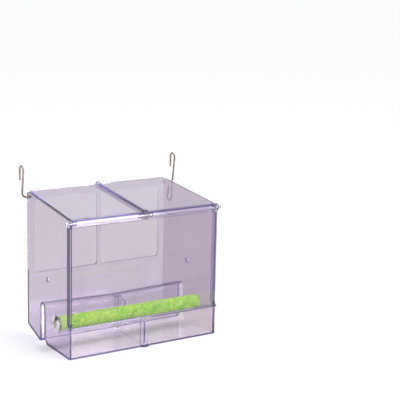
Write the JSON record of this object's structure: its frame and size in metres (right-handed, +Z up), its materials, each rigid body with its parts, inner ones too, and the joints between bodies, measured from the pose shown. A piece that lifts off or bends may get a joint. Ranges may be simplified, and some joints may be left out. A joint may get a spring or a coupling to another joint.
{
  "type": "hanging cage feeder",
  "caption": "Clear plastic feeder that hangs on a cage front: seed tray, front window, hinged lids, sanded perch held by a cap nut, and wire hooks.",
  "frame": {"origin": "underside of the seed tray, on the centre line, half way along the body's depth", "axes": "+Z up, -Y out through the front window, +Y to the cage, X across the width"},
  "size_m": [0.1876, 0.1078, 0.1843],
  "materials": {
    "clear_housing": "clear, polished",
    "clear_window": "clear, polished",
    "clear_divider": "clear, polished",
    "clear_bar": "clear, polished",
    "clear_pins": "clear, polished",
    "clear_lids": "clear, polished",
    "perch_wood": "plain turned",
    "green_sand": "coarse sand coat",
    "steel_stud": "turned",
    "chrome_fixings": "bright plated",
    "steel_wire": "drawn wire"
  },
  "bodies": {
    "housing": {"housing_shell": "clear_housing", "front_window": "clear_window", "tray_divider": "clear_divider", "centre_bar": "clear_bar", "hinge_pin_left": "clear_pins", "hinge_pin_right": "clear_pins", "hinge_pin_centre": "clear_pins", "perch_outer_washer": "chrome_fixings"},
    "lid_left": {"lid_left": "clear_lids"},
    "lid_right": {"lid_right": "clear_lids"},
    "perch": {"perch_core": "perch_wood", "perch_sand_sleeve": "green_sand", "perch_stud": "steel_stud", "perch_end_peg": "perch_wood", "perch_inner_washer": "chrome_fixings"},
    "cap_nut": {"perch_cap_nut": "chrome_fixings"},
    "hook_left": {"hook_left": "steel_wire"},
    "hook_right": {"hook_right": "steel_wire"}
  },
  "joints": [
    {"name": "lid_left_hinge", "type": "hinge", "parent": "housing", "child": "lid_left", "pos_m": [-0.044, -0.0498, 0.1408], "axis": [1, 0, 0], "range_deg": [0, 105]},
    {"name": "lid_right_hinge", "type": "hinge", "parent": "housing", "child": "lid_right", "pos_m": [0.044, -0.0498, 0.1408], "axis": [1, 0, 0], "range_deg": [0, 105]},
    {"name": "perch_turn", "type": "hinge", "parent": "housing", "child": "perch", "pos_m": [0, -0.02, 0.0297], "axis": [1, 0, 0], "continuous": true},
    {"name": "cap_nut_turn", "type": "hinge", "parent": "perch", "child": "cap_nut", "pos_m": [-0.09, -0.02, 0.0297], "axis": [1, 0, 0], "continuous": true},
    {"name": "hook_left_swivel", "type": "hinge", "parent": "housing", "child": "hook_left", "pos_m": [-0.0851, 0.0477, 0.15], "axis": [1, 0, 0], "continuous": true},
    {"name": "hook_right_swivel", "type": "hinge", "parent": "housing", "child": "hook_right", "pos_m": [0.0851, 0.0477, 0.15], "axis": [1, 0, 0], "continuous": true}
  ]
}
